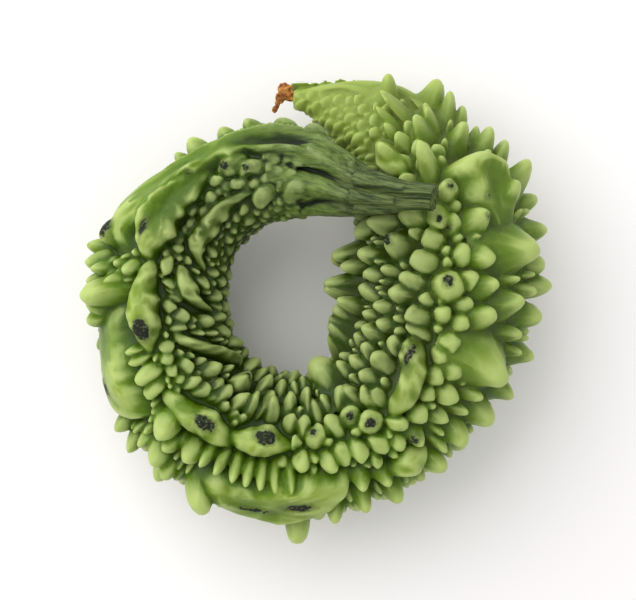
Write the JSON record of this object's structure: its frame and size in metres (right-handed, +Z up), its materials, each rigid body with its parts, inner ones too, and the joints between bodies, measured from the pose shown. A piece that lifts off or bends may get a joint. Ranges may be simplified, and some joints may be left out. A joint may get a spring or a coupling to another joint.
{
  "type": "bitter gourd",
  "caption": "Curled bitter gourd with ridged, peg-like warts, a cut fibrous stalk and a withered blossom tip, lying on its side round an open hole.",
  "frame": {"origin": "middle of the bounding box's footprint, on the surface the gourd rests on", "axes": "+Z up as it lies; seen from above with +Y up the page the blossom end points to -X along the top and the stalk's cut end points to +X"},
  "size_m": [0.1148, 0.1118, 0.0494],
  "materials": {
    "skin": "waxy satin skin of fresh yellow-green, paler on the wart tips and darker in the creases, with corky dark scars",
    "stalk": "dark green fibrous stalk, dull, cut square across its end",
    "dried_blossom": "orange-brown withered petals, dry and crumpled"
  },
  "bodies": {
    "root": {"fruit": "skin", "stalk": "stalk", "dried_blossom": "dried_blossom"}
  },
  "joints": []
}
